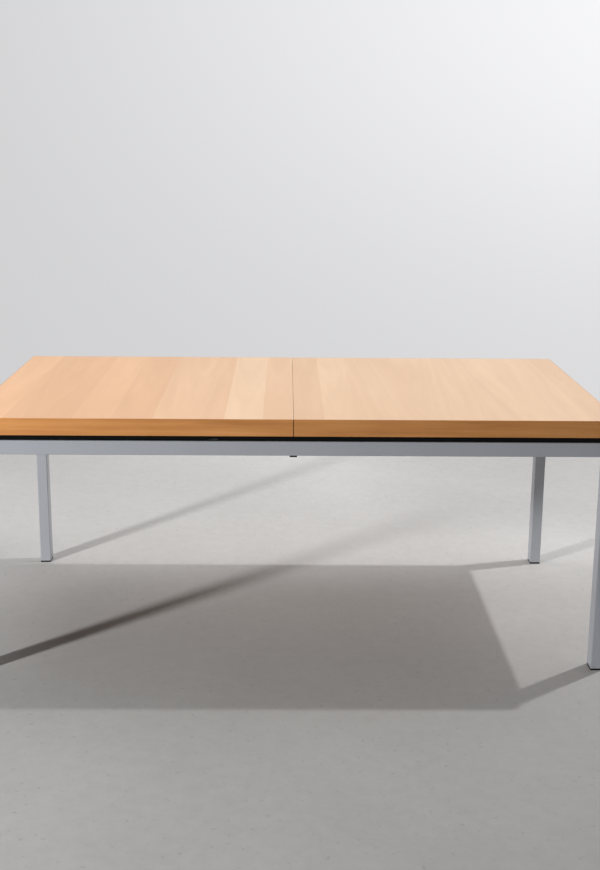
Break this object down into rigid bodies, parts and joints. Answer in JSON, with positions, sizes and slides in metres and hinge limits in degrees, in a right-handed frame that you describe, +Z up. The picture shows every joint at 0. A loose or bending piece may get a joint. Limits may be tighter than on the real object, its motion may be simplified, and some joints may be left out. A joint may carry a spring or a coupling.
{
  "type": "extending dining table",
  "caption": "Rectangular dining table with a thick veneered top in halves that slide apart over a slim silver metal frame on square legs, with a spare leaf stored under the top.",
  "frame": {"origin": "on the floor under the middle of the closed table", "axes": "+X along the length to the right, -Y towards the front, +Z up"},
  "size_m": [1.8, 0.9, 0.74],
  "materials": {
    "veneer": "satin lacquered beech veneer, grain across the table",
    "edge_band": "satin lacquered solid edge band, grain along the edge",
    "core_wood": "plain sanded wood",
    "silver_frame": "fine silver-grey powder coat",
    "black_plastic": "matt moulded black",
    "black_strip": "matt black profile",
    "black_metal": "matt black",
    "beam_steel": "black powder coat",
    "aluminium": "extruded, mill finish",
    "nylon": "natural nylon",
    "zinc_steel": "bright zinc plated"
  },
  "bodies": {
    "frame": {"beam_screws": "zinc_steel", "corner_bolts": "zinc_steel", "far_left_beam": "beam_steel", "far_right_beam": "beam_steel", "front_left_foot": "black_plastic", "front_left_leg": "silver_frame", "front_rail": "silver_frame", "front_right_foot": "black_plastic", "front_right_leg": "silver_frame", "front_slide": "aluminium", "front_strip": "black_strip", "left_beam": "beam_steel", "left_end_rail": "silver_frame", "left_strip": "black_strip", "leg_inserts": "aluminium", "lock_guide": "black_plastic", "pinion_pins": "zinc_steel", "rail_end_blocks": "aluminium", "rear_left_foot": "black_plastic", "rear_left_leg": "silver_frame", "rear_rail": "silver_frame", "rear_right_foot": "black_plastic", "rear_right_leg": "silver_frame", "rear_slide": "aluminium", "rear_strip": "black_strip", "right_beam": "beam_steel", "right_end_rail": "silver_frame", "right_strip": "black_strip", "slide_screws": "zinc_steel", "slide_stops": "black_plastic"},
    "left_top": {"left_board": "veneer", "left_dowels": "core_wood", "left_end_band": "edge_band", "left_end_doubler": "core_wood", "left_front_band": "edge_band", "left_front_doubler": "core_wood", "left_front_runner": "aluminium", "left_rear_band": "edge_band", "left_rear_doubler": "core_wood", "left_rear_runner": "aluminium", "left_runner_screws": "zinc_steel"},
    "right_top": {"right_board": "veneer", "right_end_band": "edge_band", "right_end_doubler": "core_wood", "right_front_band": "edge_band", "right_front_doubler": "core_wood", "right_front_runner": "aluminium", "right_rear_band": "edge_band", "right_rear_doubler": "core_wood", "right_rear_runner": "aluminium", "right_runner_screws": "zinc_steel"},
    "front_pinion": {"front_pinion": "nylon"},
    "rear_pinion": {"rear_pinion": "nylon"},
    "spare_leaf": {"leaf_board": "veneer", "leaf_dowels": "core_wood", "leaf_front_band": "edge_band", "leaf_front_doubler": "core_wood", "leaf_rear_band": "edge_band", "leaf_rear_doubler": "core_wood"},
    "top_lock": {"lock_bar": "black_metal"}
  },
  "joints": [
    {"name": "left_top_slide", "type": "slide", "parent": "frame", "child": "left_top", "axis": [-1, 0, 0], "range_m": [0, 0.252]},
    {"name": "right_top_slide", "type": "slide", "parent": "frame", "child": "right_top", "axis": [1, 0, 0], "range_m": [0, 0.252]},
    {"name": "front_pinion_turn", "type": "hinge", "parent": "frame", "child": "front_pinion", "pos_m": [0, -0.33, 0.6695], "axis": [0, 0, 1], "range_deg": [-905, 0]},
    {"name": "rear_pinion_turn", "type": "hinge", "parent": "frame", "child": "rear_pinion", "pos_m": [0, 0.33, 0.6695], "axis": [0, 0, 1], "range_deg": [-905, 0]},
    {"name": "leaf_lift", "type": "slide", "parent": "frame", "child": "spare_leaf", "axis": [0, 0, 1], "range_m": [0, 0.008]},
    {"name": "lock_push", "type": "slide", "parent": "frame", "child": "top_lock", "axis": [0, 1, 0], "range_m": [0, 0.008]}
  ],
  "couplings": [
    {"joint": "right_top_slide", "follows": "left_top_slide", "ratio": 1},
    {"joint": "front_pinion_turn", "follows": "left_top_slide", "rad_per_m": -62.5},
    {"joint": "rear_pinion_turn", "follows": "left_top_slide", "rad_per_m": -62.5}
  ]
}
